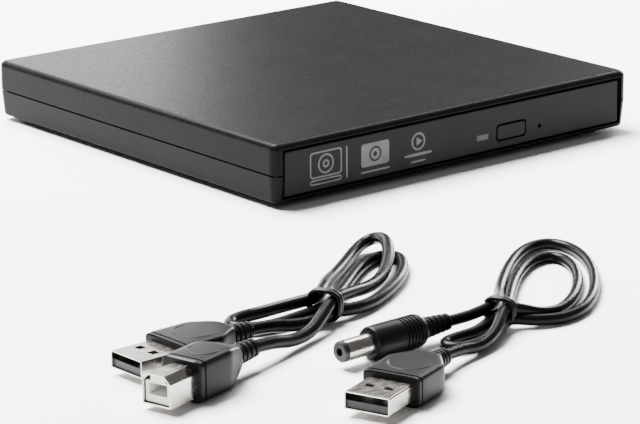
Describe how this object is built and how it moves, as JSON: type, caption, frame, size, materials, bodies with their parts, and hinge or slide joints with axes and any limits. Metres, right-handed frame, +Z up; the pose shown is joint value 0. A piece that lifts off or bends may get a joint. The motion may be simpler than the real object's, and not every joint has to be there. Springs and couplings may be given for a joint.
{
  "type": "external optical drive",
  "caption": "Slim tray-loading optical disc drive in a flat two-shell plastic housing on rubber feet, with a data cable and a power cable lying beside it.",
  "frame": {"origin": "centre of the drive's footprint, on the surface that its feet stand on", "axes": "+Z up; the bezel faces -Y, the rear ports +Y; +X to the right seen from the front"},
  "size_m": [0.2721, 0.2991, 0.0195],
  "materials": {
    "housing_plastic": "spark-eroded matt texture",
    "bezel_plastic": "fine satin",
    "tray_plastic": "satin",
    "foot_rubber": "matt",
    "screw_steel": "blackened",
    "zinc_sheet": "galvanised sheet",
    "board_green": "solder resist",
    "chip_black": "moulded",
    "nickel": "nickel plated",
    "insulator_black": "moulded",
    "insulator_white": "moulded",
    "flex_amber": "film",
    "light_guide": "frosted",
    "damper_rubber": "soft",
    "lens_glass": "coated",
    "sled_alloy": "die cast",
    "cord_pvc": "soft pvc",
    "mould_pvc": "soft moulded pvc",
    "tie_plastic": "smooth"
  },
  "bodies": {
    "housing": {"top_cover": "housing_plastic", "bottom_cover": "housing_plastic", "housing_screws": "screw_steel", "rubber_feet": "foot_rubber", "adapter_board": "board_green", "chips": "chip_black", "usb_socket_shell": "nickel", "usb_socket_tongue": "insulator_black", "dc_jack": "insulator_black", "dc_jack_pin": "nickel", "slimline_connector": "insulator_black", "small_screws": "screw_steel", "drive_pan": "zinc_sheet", "drive_lid": "zinc_sheet", "rail_guides": "tray_plastic", "main_board": "board_green", "flat_flex_cable": "flex_amber"},
    "rail_left": {"rail_left": "zinc_sheet"},
    "rail_right": {"rail_right": "zinc_sheet"},
    "tray": {"disc_tray": "tray_plastic", "front_bezel": "bezel_plastic", "led_window": "light_guide", "tray_bottom_cover": "zinc_sheet", "traverse_frame": "zinc_sheet", "dampers": "damper_rubber", "traverse_screws": "screw_steel", "spindle_motor_base": "zinc_sheet", "guide_rods": "nickel", "sled_motor": "zinc_sheet", "switch_board": "board_green", "eject_solenoid": "chip_black"},
    "spindle": {"turntable": "tray_plastic", "turntable_ring": "foot_rubber", "clamp_balls": "nickel"},
    "sled": {"pickup_body": "sled_alloy"},
    "lens": {"lens_holder": "chip_black", "objective_lens": "lens_glass"},
    "lead_screw": {"lead_screw": "nickel"},
    "eject_button": {"eject_button": "bezel_plastic"},
    "latch_lever": {"latch_lever": "insulator_white"},
    "data_cable": {"data_plug_a_shell": "nickel", "data_plug_a_insulator": "insulator_black", "data_plug_a_mould": "mould_pvc", "data_plug_b_shell": "nickel", "data_plug_b_insulator": "insulator_white", "data_plug_b_mould": "mould_pvc", "data_cord_a": "cord_pvc", "data_cord_b": "cord_pvc", "data_hank": "cord_pvc", "data_tie": "tie_plastic"},
    "power_cable": {"power_plug_barrel": "nickel", "power_plug_insulator": "insulator_black", "power_plug_mould": "mould_pvc", "power_usb_shell": "nickel", "power_usb_insulator": "insulator_black", "power_usb_mould": "mould_pvc", "power_cord_dc": "cord_pvc", "power_cord_a": "cord_pvc", "power_hank": "cord_pvc", "power_tie": "tie_plastic"}
  },
  "joints": [
    {"name": "tray_slide", "type": "slide", "parent": "housing", "child": "tray", "axis": [0, -1, 0], "range_m": [0, 0.126], "deforming": ["flat_flex_cable"]},
    {"name": "rail_left_slide", "type": "slide", "parent": "housing", "child": "rail_left", "axis": [0, -1, 0], "range_m": [0, 0.063]},
    {"name": "rail_right_slide", "type": "slide", "parent": "housing", "child": "rail_right", "axis": [0, -1, 0], "range_m": [0, 0.063]},
    {"name": "disc_spin", "type": "hinge", "parent": "tray", "child": "spindle", "pos_m": [0, -0.007, 0.0113], "axis": [0, 0, 1], "continuous": true},
    {"name": "sled_slide", "type": "slide", "parent": "tray", "child": "sled", "axis": [-0.6561, 0.7547, 0], "range_m": [0, 0.034]},
    {"name": "screw_turn", "type": "hinge", "parent": "tray", "child": "lead_screw", "pos_m": [-0.00572, 0.02778, 0.0072], "axis": [-0.6561, 0.7547, 0], "range_deg": [0, 4080]},
    {"name": "lens_focus", "type": "slide", "parent": "sled", "child": "lens", "axis": [0, 0, 1], "range_m": [-0.0004, 0.0004], "stiffness_N_per_m": 40},
    {"name": "button_press", "type": "slide", "parent": "tray", "child": "eject_button", "axis": [0, 1, 0], "range_m": [0, 0.0006], "stiffness_N_per_m": 600},
    {"name": "latch_turn", "type": "hinge", "parent": "tray", "child": "latch_lever", "pos_m": [0.051, -0.058, 0.0066], "axis": [0, 0, 1], "range_deg": [0, 22]},
    {"name": "data_cable_lift", "type": "slide", "parent": "housing", "child": "data_cable", "axis": [0, 0, 1], "range_m": [0, 0.04]},
    {"name": "power_cable_lift", "type": "slide", "parent": "housing", "child": "power_cable", "axis": [0, 0, 1], "range_m": [0, 0.04]}
  ],
  "couplings": [
    {"joint": "rail_left_slide", "follows": "tray_slide", "ratio": 0.5},
    {"joint": "rail_right_slide", "follows": "tray_slide", "ratio": 0.5},
    {"joint": "screw_turn", "follows": "sled_slide", "rad_per_m": 2094.4}
  ]
}
